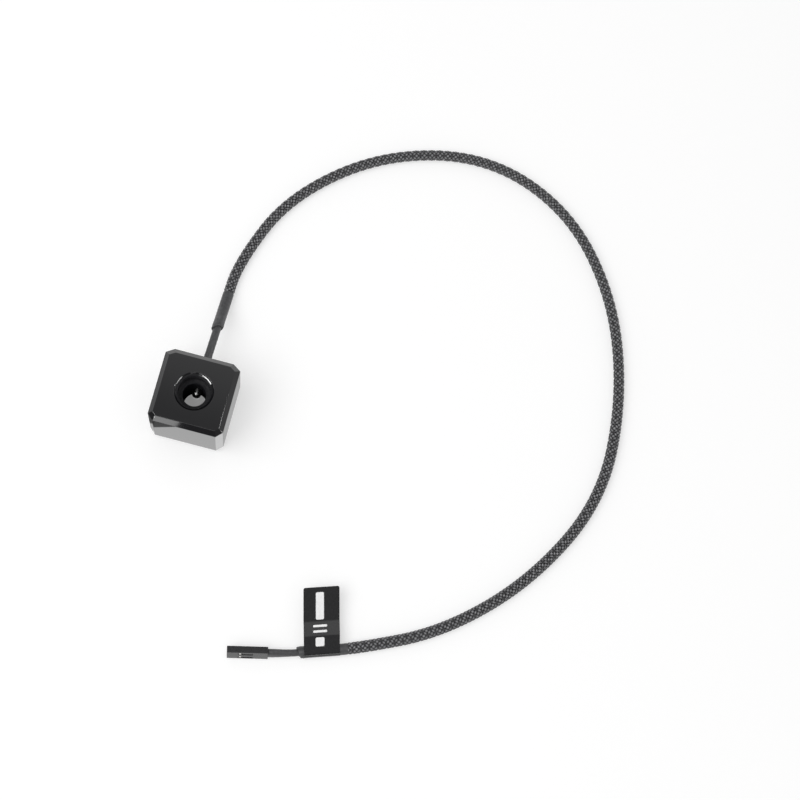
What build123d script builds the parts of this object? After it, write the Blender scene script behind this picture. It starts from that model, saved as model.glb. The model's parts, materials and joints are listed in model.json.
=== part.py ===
"""In-line coolant temperature sensor: a square flow block with two G1/4 ports, a probe and a sleeved cable.

Millimetres. The origin is the middle of the block's lower face, +Z runs up the flow bore, and the
cable leaves the rear face towards +Y.
"""

from build123d import *
import math
import os

os.makedirs("parts", exist_ok=True)

# Flow block
block_width = 27.0
block_height = 25.0
edge_chamfer = 1.7
front_corner_chamfer = 2.2
rear_corner_width = 2.9
rear_corner_depth = 1.9

# G1/4 ports and the bore between them
port_minor_diameter = 11.445
port_mouth_diameter = 13.9
port_depth = 5.0
flow_bore_diameter = 8.3

# Stepped hole in the rear face; depths are measured inwards from that face
rear_face = block_width / 2
probe_height = block_height / 2
gland_diameter = 6.0
gland_depth = 4.5

# Probe: a closed tube whose flange sits at the bottom of the gland
probe_diameter = 3.3
probe_wall = 0.35
probe_tip_depth = 12.9
probe_flange_diameter = 5.0
probe_flange_thickness = 0.8

# Thermistor in the tip, bedded in compound
bead_diameter = 1.7
bead_length = 2.6
bead_tip_gap = 0.45
bead_lead_diameter = 0.3
bead_lead_gap = 0.02
compound_length = 4.6

# Wires
wire_diameter = 0.95
wire_offset = 0.49
wire_start_depth = 6.5
wire_plug_depth = 5.0
fan_start = 9.0
fan_end = 1.25

# Shrink tubes and braided sleeve; stations run along the cable from the wires' inner ends
thin_shrink_bore = 2.05
entry_shrink_diameter = 2.9
entry_shrink_start = 3.5
entry_shrink_end = 31.0
plug_shrink_diameter = 2.5
plug_shrink_length = 18.0
collar_diameter = 4.1
collar_length = 17.5
collar_lip = 3.0
entry_collar_start = 21.8
plug_collar_gap = 10.6
sleeve_diameter = 4.0
sleeve_bore = 3.1
sleeve_end_diameter = 3.3
mouth_width = 3.9
mouth_bore_width = 3.5

# Plug: a two-way crimp housing lying on one edge and leaning back
plug_length = 14.3
plug_width = 5.08
plug_thickness = 2.54
plug_lean = 16.5
plug_pitch = 2.54
cavity_size = 1.9
window_start = 3.9
window_length = 1.4
window_width = 1.3
tongue_length = 3.8
tongue_depth = 0.2

# Crimp contacts
contact_setback = 0.6
contact_box_length = 6.4
contact_socket_size = 0.9
contact_socket_depth = 5.0
neck_diameter = 1.1
neck_length = 1.6
crimp_diameter = 1.7
crimp_length = 4.0

# Flag label, folded round the collar at the plug end
label_paper = 0.15
label_width = 12.9
label_reach = 22.4
label_rise = 6.0
label_slant = 0.65
label_from_plug = 18.65
label_overrun = 2.0

# Heights of the cable's axis over the floor
floor_height = collar_diameter / 2
label_height = floor_height + label_paper
lean = math.radians(plug_lean)
plug_height = (plug_width * math.cos(lean) + plug_thickness * math.sin(lean)) / 2

# The cable's route: out of the rear face, down to the floor and round to the plug
route_points = [
    (0, rear_face - wire_start_depth, probe_height),
    (0.5, 24.5, probe_height),
    (0, 40, floor_height),
    (0.6, 57, floor_height),
    (12, 87, floor_height),
    (41.5, 113, floor_height),
    (80, 123, floor_height),
    (115, 110, floor_height),
    (138.6, 80.5, floor_height),
    (150, 43.5, floor_height),
    (150.7, 5, floor_height),
    (132.5, -30, floor_height),
    (106, -56, floor_height),
    (77.5, -69.9, label_height),
    (63.5, -74.5, label_height),
    (54.6, -77.25, plug_height),
    (48, -78.75, plug_height),
]
up = Vector(0, 0, 1)


def bend_radii(points):
    """Radius of each bend: 0.45 of the shorter run, over the tangent of half the turn."""
    radii = []
    for before, here, after in zip(points, points[1:], points[2:]):
        run_in = here - before
        run_out = after - here
        half_turn = math.radians(run_in.get_angle(run_out) / 2)
        radii.append(0.45 * min(run_in.length, run_out.length) / math.tan(half_turn))
    return radii


def write(builder, label):
    """Label a finished piece and write its file."""
    builder.part.label = label
    export_step(builder.part, f"parts/{label}.step")


corners = [Vector(*point) for point in route_points]
radii = bend_radii(corners)
with BuildLine() as route_line:
    FilletPolyline(*corners, radius=radii)
route = route_line.wire()
route_length = route.length
print("Cable bend radii:", [round(radius, 1) for radius in radii])
print("Cable length outside the block:", round(route_length - wire_start_depth, 1))

# Stations that follow from the sizes above
entry_collar_end = entry_collar_start + collar_length
plug_collar_end = route_length - plug_collar_gap
plug_collar_start = plug_collar_end - collar_length
sleeve_start = entry_collar_start + collar_lip
sleeve_end = plug_collar_end - collar_lip


def tube(start, end, outer, inner=0, mode=Mode.ADD):
    """A round tube along the route between two stations; without a bore it is a rod."""
    stretch = route.trim(start / route_length, end / route_length)
    with BuildSketch(Plane(origin=stretch @ 0, z_dir=stretch % 0)) as section:
        Circle(outer / 2)
        if inner > 0:
            Circle(inner / 2, mode=Mode.SUBTRACT)
    sweep(section.sketch, path=stretch, mode=mode)


# Depth plane in the rear face, and the plug's own plane with its x along the wide side
depth_plane = Plane(origin=(0, rear_face, probe_height), x_dir=(1, 0, 0), z_dir=(0, -1, 0))
heading = route % 1
side = Vector(-heading.Y, heading.X, 0)
window_normal = side * math.cos(lean) + up * math.sin(lean)
wide = heading.cross(window_normal)
plug_plane = Plane(origin=route @ 1, x_dir=wide, z_dir=heading)


def cylinder_at(plane, radius, start, end, mode=Mode.ADD):
    """A cylinder on a plane's axis between two distances from it."""
    with Locations(plane.offset(start)):
        Cylinder(radius, end - start, align=(Align.CENTER, Align.CENTER, Align.MIN), mode=mode)


with BuildPart() as block:
    with BuildSketch():
        Rectangle(block_width, block_width)
    extrude(amount=block_height)
    front_edges, rear_edges = block.edges().filter_by(Axis.Z).group_by(Axis.Y)
    chamfer(front_edges, front_corner_chamfer)
    rear_side = block.faces().sort_by(Axis.Y)[-1]
    chamfer(rear_edges, rear_corner_width, rear_corner_depth, reference=rear_side)
    end_faces = block.faces().filter_by(Axis.Z)
    chamfer(end_faces.edges(), edge_chamfer)
    Hole(flow_bore_diameter / 2)
    top_mouth = Plane.XY.offset(block_height)
    bottom_mouth = Plane(origin=(0, 0, 0), z_dir=(0, 0, -1))
    with Locations(top_mouth, bottom_mouth):
        CounterSinkHole(
            radius=port_minor_diameter / 2,
            counter_sink_radius=port_mouth_diameter / 2,
            depth=port_depth,
            counter_sink_angle=90,
        )
    cylinder_at(depth_plane, gland_diameter / 2, 0, gland_depth, Mode.SUBTRACT)
    cylinder_at(depth_plane, probe_diameter / 2, 0, rear_face, Mode.SUBTRACT)
write(block, "flow_block")

# Probe tube, seen from its open end
outer_radius = probe_diameter / 2
inner_radius = outer_radius - probe_wall
tip_centre = probe_tip_depth - outer_radius
tube_start = gland_depth - probe_flange_thickness
with BuildPart() as sheath:
    cylinder_at(depth_plane, outer_radius, tube_start, tip_centre)
    cylinder_at(depth_plane, probe_flange_diameter / 2, tube_start, gland_depth)
    with Locations(depth_plane.offset(tip_centre)):
        Sphere(outer_radius)
    cylinder_at(depth_plane, inner_radius, tube_start, tip_centre, Mode.SUBTRACT)
    with Locations(depth_plane.offset(tip_centre)):
        Sphere(inner_radius, mode=Mode.SUBTRACT)
write(sheath, "probe_sheath")

bead_end = tip_centre + inner_radius - bead_tip_gap
bead_start = bead_end - bead_length
with BuildPart() as thermistor:
    cylinder_at(depth_plane, bead_diameter / 2, bead_start, bead_end)
    chamfer(thermistor.edges().filter_by(GeomType.CIRCLE), bead_diameter / 4)
    for direction in (-1, 1):
        lead_plane = depth_plane.shift_origin(depth_plane.origin + Vector(direction * wire_offset, 0, 0))
        lead_start = wire_start_depth + bead_lead_gap
        cylinder_at(lead_plane, bead_lead_diameter / 2, lead_start, bead_start + bead_diameter / 4)
write(thermistor, "thermistor")

compound_start = tip_centre + inner_radius - compound_length
with BuildPart() as compound:
    cylinder_at(depth_plane, inner_radius, compound_start, tip_centre)
    with Locations(depth_plane.offset(tip_centre)):
        Sphere(inner_radius)
    add(thermistor.part, mode=Mode.SUBTRACT)
write(compound, "thermal_compound")


def wire_corners(direction):
    """Corner points of a wire that runs beside the route, level with it."""
    points = []
    for index, here in enumerate(corners):
        run_in = here - corners[max(index - 1, 0)]
        run_out = corners[min(index + 1, len(corners) - 1)] - here
        if index == 0:
            run_in = run_out
        if index == len(corners) - 1:
            run_out = run_in
        left_in = up.cross(run_in).normalized()
        left_out = up.cross(run_out).normalized()
        mitre = (left_in + left_out) / (1 + left_in.dot(left_out))
        points.append(here + mitre * wire_offset * direction)
    return points


def cavity_offset(direction):
    """From the plug's axis to the cavity on a wire's side of it."""
    return wide * math.copysign(plug_pitch / 2, wide.dot(up.cross(heading)) * direction)


def wire_path(direction):
    """The wire's path: beside the route, then twisting and spreading into its plug cavity."""
    points = wire_corners(direction)
    level_turns = [Vector(r.X, r.Y, 0) for r in corners]
    bends = []
    for index, radius in enumerate(radii):
        turn = (level_turns[index + 1] - level_turns[index]).cross(level_turns[index + 2] - level_turns[index + 1]).Z
        shift = 0 if abs(turn) < 1e-6 else math.copysign(wire_offset, turn) * direction
        bends.append(radius - shift)
    end = route @ 1 + cavity_offset(direction)
    points[-1] = end - heading * fan_end
    points.append(end + heading * wire_plug_depth)
    return points, bends[:-1] + bend_radii(points[-4:])


wires = {}
for name, direction in (("wire_a", 1), ("wire_b", -1)):
    points, bends = wire_path(direction)
    print(name, "smallest bend radius:", round(min(bends), 2))
    with BuildLine() as wire_line:
        FilletPolyline(*points, radius=bends)
    path = wire_line.wire()
    with BuildPart() as wire:
        with BuildSketch(Plane(origin=path @ 0, z_dir=path % 0)):
            Circle(wire_diameter / 2)
        sweep(path=path)
    wires[name] = wire.part
    write(wire, name)

with BuildPart() as entry_shrink:
    tube(entry_shrink_start, entry_shrink_end, entry_shrink_diameter, thin_shrink_bore)
write(entry_shrink, "entry_shrink")

with BuildPart() as potting:
    cylinder_at(depth_plane, gland_diameter / 2, 0, gland_depth)
    cylinder_at(depth_plane, inner_radius, 0, compound_start)
    add([sheath.part, thermistor.part, entry_shrink.part, *wires.values()], mode=Mode.SUBTRACT)
write(potting, "potting")

with BuildPart() as entry_collar:
    tube(entry_collar_start, sleeve_start, collar_diameter, entry_shrink_diameter)
    tube(sleeve_start, entry_collar_end, collar_diameter, sleeve_end_diameter)
write(entry_collar, "entry_collar")

with BuildPart() as sleeve:
    tube(sleeve_start, entry_collar_end, sleeve_end_diameter, entry_shrink_diameter)
    tube(entry_collar_end, plug_collar_start, sleeve_diameter, sleeve_bore)
    tube(plug_collar_start, sleeve_end, sleeve_end_diameter, plug_shrink_diameter)
write(sleeve, "braided_sleeve")

with BuildPart() as plug_collar:
    tube(plug_collar_start, sleeve_end, collar_diameter, sleeve_end_diameter)
    tube(sleeve_end, plug_collar_end, collar_diameter, plug_shrink_diameter)
write(plug_collar, "plug_collar")


def oval(plane, width, thickness):
    """An oval across the cable."""
    with BuildSketch(plane) as outline:
        Ellipse(width / 2, thickness / 2)
    return outline.sketch


fan_station = route_length - fan_start
fan_place = route.trim(0, fan_station / route_length)
fan_plane = Plane(origin=fan_place @ 1, x_dir=wide, z_dir=fan_place % 1)


def mouth(width, thickness, mode):
    """The flared end of the plug shrink: round, then wider, then an even oval up to the plug."""
    flared = oval(plug_plane.offset(-fan_end), width, thickness)
    loft([oval(fan_plane, thickness, thickness), flared], mode=mode)
    extrude(flared, amount=fan_end, mode=mode)


plug_shrink_start = route_length - plug_shrink_length
with BuildPart() as plug_shrink:
    tube(plug_shrink_start, fan_station, plug_shrink_diameter)
    mouth(mouth_width, plug_shrink_diameter, Mode.ADD)
    tube(plug_shrink_start, fan_station, thin_shrink_bore, mode=Mode.SUBTRACT)
    mouth(mouth_bore_width, thin_shrink_bore, Mode.SUBTRACT)
write(plug_shrink, "plug_shrink")

# Flag label: one layer round the collar, and two layers in the flag, which leaves the collar's top
label_centre = route_length - label_from_plug
label_place = route.trim(0, label_centre / route_length)
along = label_place % 1
out = along.cross(up).normalized()
flag_direction = out * math.cos(math.radians(label_rise)) + up * math.sin(math.radians(label_rise))
flag_plane = Plane(origin=label_place @ 1, x_dir=flag_direction, z_dir=flag_direction.cross(along))
with BuildPart() as label:
    half = label_width / 2
    with BuildSketch(flag_plane.offset(collar_diameter / 2)):
        Polygon(
            (0, -half),
            (label_reach, -half - label_slant),
            (label_reach, half - label_slant),
            (0, half),
            align=None,
        )
    extrude(amount=label_paper, both=True)
    label_start = label_centre - half
    label_end = label_start + label_width
    tube(label_start, label_end, collar_diameter + 2 * label_paper)
    tube(label_start - label_overrun, label_end + label_overrun, collar_diameter, mode=Mode.SUBTRACT)
write(label, "flag_label")

with BuildPart() as plug:
    with BuildSketch(plug_plane):
        Rectangle(plug_width, plug_thickness)
    extrude(amount=plug_length)
    with BuildSketch(plug_plane):
        with GridLocations(plug_pitch, 0, 2, 1):
            Rectangle(cavity_size, cavity_size)
    extrude(amount=plug_length, mode=Mode.SUBTRACT)
    window_face = Plane(
        origin=plug_plane.from_local_coords((0, -plug_thickness / 2, plug_length - window_start)),
        x_dir=wide,
        z_dir=window_normal,
    )
    with BuildSketch(window_face):
        with Locations((0, window_length / 2)):
            with GridLocations(plug_pitch, 0, 2, 1):
                Rectangle(window_width, window_length)
    extrude(amount=-plug_thickness / 2, mode=Mode.SUBTRACT)
    with BuildSketch(window_face):
        with Locations((0, window_length + tongue_length / 2)):
            with GridLocations(plug_pitch, 0, 2, 1):
                Rectangle(cavity_size, tongue_length)
    extrude(amount=-tongue_depth, mode=Mode.SUBTRACT)
write(plug, "plug_housing")

crimp_end = plug_length - contact_setback - contact_box_length - neck_length
for name, direction in (("contact_a", 1), ("contact_b", -1)):
    contact_plane = plug_plane.shift_origin(plug_plane.origin + cavity_offset(direction))
    box_start = crimp_end + neck_length
    with BuildPart() as contact:
        with BuildSketch(contact_plane.offset(box_start)):
            Rectangle(cavity_size, cavity_size)
        extrude(amount=contact_box_length)
        with BuildSketch(contact_plane.offset(box_start + contact_box_length)):
            Rectangle(contact_socket_size, contact_socket_size)
        extrude(amount=-contact_socket_depth, mode=Mode.SUBTRACT)
        cylinder_at(contact_plane, neck_diameter / 2, crimp_end, box_start)
        cylinder_at(contact_plane, crimp_diameter / 2, crimp_end - crimp_length, crimp_end)
        cylinder_at(contact_plane, wire_diameter / 2, crimp_end - crimp_length, wire_plug_depth, Mode.SUBTRACT)
    write(contact, name)
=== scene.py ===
"""Scene for the in-line coolant temperature sensor. Metres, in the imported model's frame."""

import json
import math

import bmesh
import bpy
import numpy as np
from mathutils import Matrix, Quaternion, Vector

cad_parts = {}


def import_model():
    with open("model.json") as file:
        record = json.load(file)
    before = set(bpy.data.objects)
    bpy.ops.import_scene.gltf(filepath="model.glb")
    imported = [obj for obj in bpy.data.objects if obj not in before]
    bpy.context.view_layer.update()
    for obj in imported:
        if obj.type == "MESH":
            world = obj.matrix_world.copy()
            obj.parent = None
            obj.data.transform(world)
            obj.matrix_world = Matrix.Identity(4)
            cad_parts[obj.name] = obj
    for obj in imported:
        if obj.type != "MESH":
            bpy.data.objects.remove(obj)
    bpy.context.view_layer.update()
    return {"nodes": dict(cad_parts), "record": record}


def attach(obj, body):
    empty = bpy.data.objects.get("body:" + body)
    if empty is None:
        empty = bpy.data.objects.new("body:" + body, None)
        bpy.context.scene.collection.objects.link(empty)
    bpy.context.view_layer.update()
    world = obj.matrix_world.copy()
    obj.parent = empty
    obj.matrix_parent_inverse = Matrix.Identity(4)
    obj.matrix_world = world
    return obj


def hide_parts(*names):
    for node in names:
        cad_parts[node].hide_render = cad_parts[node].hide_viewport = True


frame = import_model()
MM = 0.001
UP = np.array([0.0, 0.0, 1.0])

# Camera, from the photograph's fit
CAMERA_AT = Vector((0.054892, -0.144723, 0.628532))
LOOKS_AT = Vector((0.070789, 0.022506, 0.0))
CAMERA_ROLL = 20.0
FOCAL_PIXELS = 1780.0
PICTURE_PIXELS = 800.0
SENSOR_WIDTH = 36.0

# Sizes of the solids, in millimetres
BLOCK_WIDTH = 27.0
BLOCK_HEIGHT = 25.0
EDGE_CHAMFER = 1.7
FRONT_CORNER = 2.2
REAR_CORNER_WIDTH = 2.9
REAR_CORNER_DEPTH = 1.9
PORT_MINOR = 11.445
PORT_MOUTH = 13.9
PORT_DEPTH = 5.0
BORE = 8.3
GLAND = 6.0
GLAND_DEPTH = 4.5
PLUG_LENGTH = 14.3
PLUG_WIDTH = 5.08
PLUG_THICKNESS = 2.54
PLUG_LEAN = math.radians(16.5)
PLUG_PITCH = 2.54
CAVITY = 1.9
WINDOW_SETBACK = 3.9
WINDOW_LENGTH = 1.4
WINDOW_WIDTH = 1.3
TONGUE_LENGTH = 3.8
TONGUE_DEPTH = 0.2
COLLAR_RADIUS = 2.05
THIN_BORE = 1.025

# Details that only the scene has, in millimetres
EDGE_SOFTNESS = 0.12
PORT_MAJOR = 13.157
THREAD_PITCH = 1.337
THREAD_END = 4.5
THREAD_RUN_OUT = 0.5
FLANK_STEEPNESS = 1.28
MOUTH_ROUNDING = 0.03
MOUTH_ROUNDED_TO = 0.7
PORT_RIM = PORT_MOUTH / 2 + 0.06
PORT_FLOOR_ROUNDING = 0.06
BORE_LEDGE = 0.2
BORE_EDGE_ROUNDING = 0.08
POLISHED_DEPTH = 0.78
PAPER = 0.1
PAPER_CLEARANCE = 0.01

# The outline's two rear corner edges, and their inset as a share of the other edges'
REAR_FACETS = ((2, 3), (4, 5))
REAR_FACET_INSET = 1.09

# Sides of the block's bores
ROUND_SIDES = 128

# The cable's route, as in the part's source but for two points beside the label
FLOOR_HEIGHT = 0.00205
LABEL_HEIGHT = 0.0022
PLUG_HEIGHT = (PLUG_WIDTH * math.cos(PLUG_LEAN) + PLUG_THICKNESS * math.sin(PLUG_LEAN)) / 2 * MM
ROUTE = [
    (0, 0.007, 0.0125),
    (0.0005, 0.0245, 0.0125),
    (0, 0.040, FLOOR_HEIGHT),
    (0.0006, 0.057, FLOOR_HEIGHT),
    (0.012, 0.087, FLOOR_HEIGHT),
    (0.0415, 0.113, FLOOR_HEIGHT),
    (0.080, 0.123, FLOOR_HEIGHT),
    (0.115, 0.110, FLOOR_HEIGHT),
    (0.1386, 0.0805, FLOOR_HEIGHT),
    (0.150, 0.0435, FLOOR_HEIGHT),
    (0.1507, 0.005, FLOOR_HEIGHT),
    (0.1325, -0.030, FLOOR_HEIGHT),
    (0.106, -0.056, FLOOR_HEIGHT),
    (0.07738, -0.0695, LABEL_HEIGHT),
    (0.06338, -0.0741, LABEL_HEIGHT),
    (0.0546, -0.07725, PLUG_HEIGHT),
    (0.048, -0.07875, PLUG_HEIGHT),
]

# Materials: where most of a noise's values lie, and the scale of the fine mottle
NOISE_LOW = 0.3
NOISE_HIGH = 0.7
MOTTLE = 1500.0


def principled(name, base, roughness, metallic=0.0, ior=1.5, specular=0.5):
    """A Principled material and the handles that its extra nodes need."""
    material = bpy.data.materials.new(name)
    material.use_nodes = True
    shader = material.node_tree.nodes["Principled BSDF"]
    shader.inputs["Base Color"].default_value = (*base, 1)
    shader.inputs["Roughness"].default_value = roughness
    shader.inputs["Metallic"].default_value = metallic
    shader.inputs["IOR"].default_value = ior
    shader.inputs["Specular IOR Level"].default_value = specular
    return material, material.node_tree, shader


def noise(tree, scale, detail=4.0):
    """A noise texture in metres of the object."""
    place = tree.nodes.new("ShaderNodeTexCoord")
    texture = tree.nodes.new("ShaderNodeTexNoise")
    texture.inputs["Scale"].default_value = scale
    texture.inputs["Detail"].default_value = detail
    tree.links.new(place.outputs["Object"], texture.inputs["Vector"])
    return texture.outputs["Fac"]


def remap(tree, value, start, end, low, high, smooth=False):
    """Maps a value from one range onto another."""
    node = tree.nodes.new("ShaderNodeMapRange")
    if smooth:
        node.interpolation_type = "SMOOTHSTEP"
    node.inputs["From Min"].default_value = start
    node.inputs["From Max"].default_value = end
    node.inputs["To Min"].default_value = low
    node.inputs["To Max"].default_value = high
    tree.links.new(value, node.inputs["Value"])
    return node.outputs["Result"]


def spread(tree, value, low, high):
    """Maps the middle of a noise's values onto a range."""
    return remap(tree, value, NOISE_LOW, NOISE_HIGH, low, high)


def calculate(tree, operation, first, second):
    """A Math node of two values, each a socket or a number."""
    node = tree.nodes.new("ShaderNodeMath")
    node.operation = operation
    for index, value in enumerate((first, second)):
        if isinstance(value, (int, float)):
            node.inputs[index].default_value = value
        else:
            tree.links.new(value, node.inputs[index])
    return node.outputs[0]


def times(tree, first, second):
    """The product of two values."""
    return calculate(tree, "MULTIPLY", first, second)


def plus(tree, first, second):
    """The sum of two values."""
    return calculate(tree, "ADD", first, second)


def between(tree, factor, first, second):
    """The value between two others that a factor gives."""
    node = tree.nodes.new("ShaderNodeMix")
    for socket, value in (("A", first), ("B", second), ("Factor", factor)):
        if isinstance(value, (int, float)):
            node.inputs[socket].default_value = value
        else:
            tree.links.new(value, node.inputs[socket])
    return node.outputs["Result"]


def tint(tree, shader, value, dark, light):
    """Colours a shader between two colours by a value."""
    node = tree.nodes.new("ShaderNodeMix")
    node.data_type = "RGBA"
    node.inputs["A"].default_value = (*dark, 1)
    node.inputs["B"].default_value = (*light, 1)
    tree.links.new(value, node.inputs["Factor"])
    tree.links.new(node.outputs["Result"], shader.inputs["Base Color"])


def bumps(tree, shader, value, strength, distance):
    """Bump from a value."""
    node = tree.nodes.new("ShaderNodeBump")
    node.inputs["Strength"].default_value = strength
    node.inputs["Distance"].default_value = distance
    tree.links.new(value, node.inputs["Height"])
    tree.links.new(node.outputs["Normal"], shader.inputs["Normal"])


def acetal():
    """Polished black acetal with faint smears."""
    material, tree, shader = principled("black_acetal", (0.006, 0.006, 0.0072), 0.05)
    smears = spread(tree, noise(tree, scale=90.0), 0.012, 0.035)
    tree.links.new(smears, shader.inputs["Roughness"])
    bumps(tree, shader, noise(tree, scale=2600.0), strength=0.02, distance=0.00001)
    return material


def steel():
    """Drawn stainless tube."""
    material, tree, shader = principled("stainless_tube", (0.3, 0.3, 0.3), 0.25, metallic=1.0)
    grain = spread(tree, noise(tree, scale=2600.0), 0.18, 0.3)
    tree.links.new(grain, shader.inputs["Roughness"])
    return material


def shrink():
    """Matt heat-shrink tube with a fine grain."""
    material, tree, shader = principled("shrink_black", (0.05, 0.05, 0.053), 0.45)
    grain = spread(tree, noise(tree, scale=900.0), 0.0, 1.0)
    tint(tree, shader, grain, (0.036, 0.036, 0.038), (0.062, 0.062, 0.066))
    rough = spread(tree, noise(tree, scale=1500.0), 0.38, 0.55)
    tree.links.new(rough, shader.inputs["Roughness"])
    bumps(tree, shader, noise(tree, scale=2200.0, detail=6.0), strength=0.35, distance=0.00008)
    return material


def yarn():
    """Braiding yarn: dark where it dips, with a painted sheen, lighter in patches, along its crowns, and
    fine threads.
    """
    material, tree, shader = principled("braid_yarn", (0.03, 0.03, 0.032), 0.3)
    # Painted sheen: the crown attribute lightens the yarn where it rides over, in patches set by a noise
    crown = tree.nodes.new("ShaderNodeAttribute")
    crown.attribute_name = "crown"
    sheen_variation = spread(tree, noise(tree, scale=1100.0), 0.55, 1.15)
    patchy_sheen = times(tree, crown.outputs["Fac"], sheen_variation)
    tint(tree, shader, patchy_sheen, (0.011, 0.011, 0.013), (0.34, 0.34, 0.355))
    place = tree.nodes.new("ShaderNodeTexCoord")
    threads = tree.nodes.new("ShaderNodeTexWave")
    threads.wave_type = "BANDS"
    threads.bands_direction = "X"
    threads.inputs["Scale"].default_value = 0.95
    tree.links.new(place.outputs["UV"], threads.inputs["Vector"])
    bumps(tree, shader, threads.outputs["Fac"], strength=0.5, distance=0.00004)
    return material


def plain(name, base, roughness, lift=1.35, bump=0.15, metallic=0.0, ior=1.5, specular=0.5):
    """A moulded or cast material with a fine mottle; lift is how far its tones lie apart."""
    material, tree, shader = principled(name, base, roughness, metallic, ior, specular)
    dark = tuple(c / lift for c in base)
    light = tuple(min(c * lift, 1.0) for c in base)
    tint(tree, shader, spread(tree, noise(tree, MOTTLE), 0.0, 1.0), dark, light)
    rough = spread(tree, noise(tree, MOTTLE * 0.6), roughness * 0.85, roughness * 1.15)
    tree.links.new(rough, shader.inputs["Roughness"])
    bumps(tree, shader, noise(tree, MOTTLE * 2.0), strength=bump, distance=0.00004)
    return material


MATERIALS = {
    "black_acetal": acetal(),
    # Lining materials reflect less than the polished acetal, the bore's not at all: painted shade inside
    # the recess, besides rougher cut threads
    "bore_black": plain("bore_black", (0.014, 0.014, 0.016), 0.5, bump=0.05, ior=1.2),
    "bore_deep": plain("bore_deep", (0.02, 0.02, 0.023), 0.8, bump=0.05, specular=0.0),
    "stainless_tube": steel(),
    "bead_glass": plain("bead_glass", (0.12, 0.05, 0.03), 0.2),
    "compound_white": plain("compound_white", (0.7, 0.7, 0.68), 0.6),
    "potting_black": plain("potting_black", (0.02, 0.02, 0.021), 0.25),
    "wire_black": plain("wire_black", (0.03, 0.03, 0.031), 0.3),
    "shrink_black": shrink(),
    "braid_black": yarn(),
    "braid_core": plain("braid_core", (0.009, 0.009, 0.01), 0.6, specular=0.3),
    "label_film": plain("label_film", (0.011, 0.011, 0.012), 0.12, bump=0.03, ior=1.45),
    "label_print": plain("label_print", (0.92, 0.92, 0.92), 0.35, lift=1.05, bump=0.05),
    "plug_black": plain("plug_black", (0.012, 0.012, 0.0135), 0.28, bump=0.1),
    "contact_tin": plain("contact_tin", (0.72, 0.71, 0.68), 0.28, lift=1.1, metallic=1.0),
}


def dress(piece, material):
    """Gives a new piece its material, and lets it ride."""
    piece.data.materials.clear()
    piece.data.materials.append(MATERIALS[material])
    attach(piece, "root")
    return piece


def add_object(name, mesh):
    """Links a new object for a mesh."""
    piece = bpy.data.objects.new(name, mesh)
    bpy.context.scene.collection.objects.link(piece)
    return piece


def make_mesh(name, points, faces):
    """A smooth mesh object from points in metres."""
    mesh = bpy.data.meshes.new(name)
    mesh.from_pydata([tuple(p) for p in points], [], faces)
    mesh.update()
    mesh.shade_smooth()
    return add_object(name, mesh)


def from_bmesh(name, bm):
    """A mesh object from a bmesh, which is freed."""
    mesh = bpy.data.meshes.new(name)
    bm.to_mesh(mesh)
    bm.free()
    return add_object(name, mesh)


def ring_faces(rows, sides, closed=True):
    """Quads between rows of points, each row a ring or an open line."""
    faces = []
    for row in range(rows - 1):
        here, beyond = row * sides, (row + 1) * sides
        for k in range(sides if closed else sides - 1):
            n = (k + 1) % sides
            faces.append((here + k, here + n, beyond + n, beyond + k))
    return faces


def soften(bm, width):
    """Rounds off every edge of a bmesh by a width in millimetres."""
    bmesh.ops.bevel(bm, geom=bm.edges[:], offset=width * MM, segments=2, profile=0.6, affect="EDGES")


def apply_modifiers(piece):
    """Bakes the modifiers into the mesh."""
    graph = bpy.context.evaluated_depsgraph_get()
    done = bpy.data.meshes.new_from_object(piece.evaluated_get(graph))
    piece.modifiers.clear()
    piece.data = done


def cut(piece, cutter, solver="EXACT"):
    """Subtracts one mesh object from another and removes the cutter."""
    modifier = piece.modifiers.new("cut", "BOOLEAN")
    modifier.operation = "DIFFERENCE"
    modifier.solver = solver
    modifier.object = cutter
    apply_modifiers(piece)
    bpy.data.objects.remove(cutter)


def shade_by_angle(piece, degrees, flat_faces=False):
    """Smooth shading with sharp edges left where faces turn by more than an angle."""
    piece.data.shade_smooth()
    bm = bmesh.new()
    bm.from_mesh(piece.data)
    for edge in bm.edges:
        edge.smooth = len(edge.link_faces) == 2 and edge.calc_face_angle(0) < math.radians(degrees)
    bm.to_mesh(piece.data)
    bm.free()
    if flat_faces:
        modifier = piece.modifiers.new("normals", "WEIGHTED_NORMAL")
        modifier.mode = "FACE_AREA"
        modifier.weight = 100
        modifier.keep_sharp = True
        apply_modifiers(piece)


def join(pieces, name):
    """Joins mesh objects into the first one."""
    with bpy.context.temp_override(active_object=pieces[0], selected_editable_objects=pieces):
        bpy.ops.object.join()
    pieces[0].name = name
    return pieces[0]


def ease(value, start, end):
    """Rises smoothly from 0 to 1 between two values."""
    t = np.clip((np.asarray(value, float) - start) / (end - start), 0.0, 1.0)
    return t * t * (3 - 2 * t)


# The cable's line: its steps per point of the route, and how far ahead and back its direction is taken
LINE_STEPS = 40
DIRECTION_REACH = 0.0004


def route_points():
    """The points along the route's smooth spline."""
    curve = bpy.data.curves.new("route", "CURVE")
    curve.dimensions = "3D"
    spline = curve.splines.new("NURBS")
    spline.points.add(len(ROUTE) - 1)
    for point, place in zip(spline.points, ROUTE):
        point.co = (*place, 1.0)
    spline.order_u = 3
    spline.use_endpoint_u = True
    spline.resolution_u = LINE_STEPS
    line = bpy.data.objects.new("route", curve)
    bpy.context.scene.collection.objects.link(line)
    graph = bpy.context.evaluated_depsgraph_get()
    mesh = bpy.data.meshes.new_from_object(line.evaluated_get(graph))
    points = np.array([v.co for v in mesh.vertices], float)
    bpy.data.objects.remove(line)
    return points


LINE = route_points()
STEPS = np.linalg.norm(np.diff(LINE, axis=0), axis=1)
STATIONS = np.concatenate([[0.0], np.cumsum(STEPS)])
CABLE = float(STATIONS[-1])


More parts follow.
